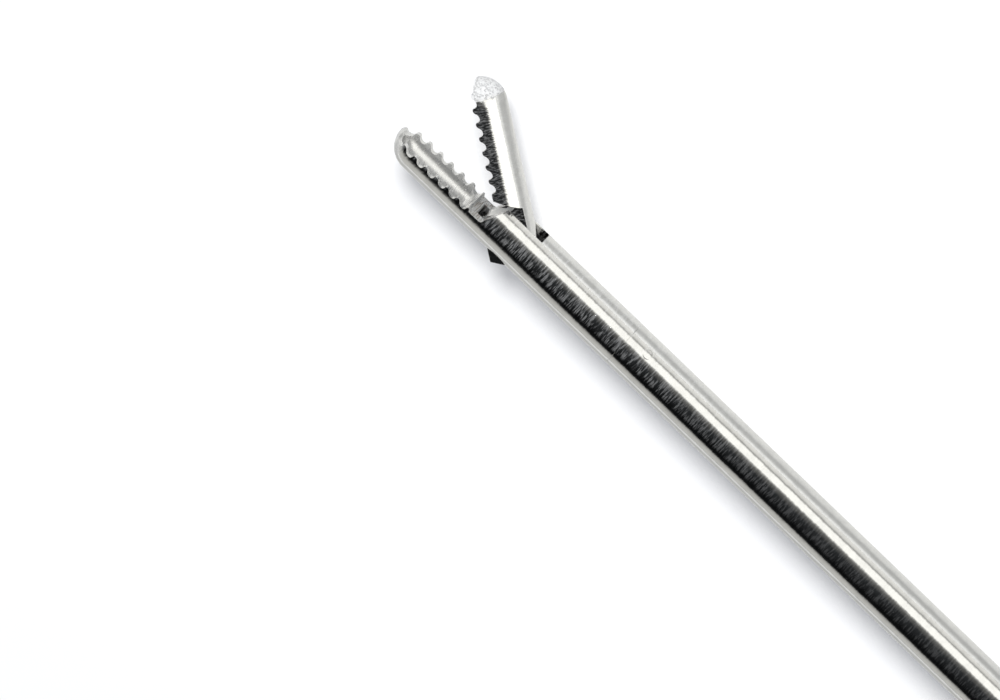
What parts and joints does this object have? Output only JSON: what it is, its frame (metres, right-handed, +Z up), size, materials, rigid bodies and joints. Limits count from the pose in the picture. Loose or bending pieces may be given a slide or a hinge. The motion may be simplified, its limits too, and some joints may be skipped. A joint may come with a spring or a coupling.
{
  "type": "soft tissue grasper",
  "caption": "Slim surgical soft tissue grasper with a toothed opening jaw on a round steel shaft, worked by a ring handle through an inner drive rod.",
  "frame": {"origin": "on the flat side of the handle's head that the instrument lies on, straight below the shaft's axis", "axes": "+X runs along the shaft to the tip, the jaw opens towards -Y with the finger rings towards +Y, and +Z is up as the instrument lies on its side"},
  "size_m": [0.1908, 0.0986, 0.008],
  "materials": {
    "polished_steel": "polished",
    "jaw_steel": "satin polished",
    "pin_steel": "ground",
    "handle_steel": "satin",
    "rod_steel": "drawn",
    "slide_plastic": "smooth",
    "seal_rubber": "moulded"
  },
  "bodies": {
    "handle": {"finger_handle": "handle_steel", "tube_ferrule": "polished_steel", "outer_tube": "polished_steel", "fixed_jaw": "jaw_steel", "jaw_hinge_pin": "pin_steel", "seal_ring": "seal_rubber", "gland_bush": "slide_plastic", "lock_screw": "pin_steel", "hinge_screw": "pin_steel", "hinge_nut": "pin_steel", "hinge_washer_upper": "slide_plastic", "hinge_washer_lower": "slide_plastic"},
    "jaw": {"moving_jaw": "jaw_steel", "link_pin": "pin_steel"},
    "rod": {"drive_rod": "rod_steel", "rod_blade": "rod_steel", "guide_sleeve_front": "slide_plastic", "guide_sleeve_rear": "slide_plastic", "rod_ball": "rod_steel"},
    "lever": {"thumb_lever": "handle_steel"}
  },
  "joints": [
    {"name": "lever_hinge", "type": "hinge", "parent": "handle", "child": "lever", "pos_m": [-0.012, 0.0046, 0.004], "axis": [0, 0, -1], "range_deg": [0, 10]},
    {"name": "rod_slide", "type": "slide", "parent": "handle", "child": "rod", "axis": [-1, 0, 0], "range_m": [0, 0.00080345]},
    {"name": "jaw_hinge", "type": "hinge", "parent": "handle", "child": "jaw", "pos_m": [0.128, -0.00085, 0.004], "axis": [0, 0, 1], "range_deg": [0, 36]}
  ],
  "couplings": [
    {"joint": "rod_slide", "follows": "lever_hinge", "m_per_rad": 0.0046033},
    {"joint": "jaw_hinge", "follows": "lever_hinge", "ratio": 3.6}
  ]
}
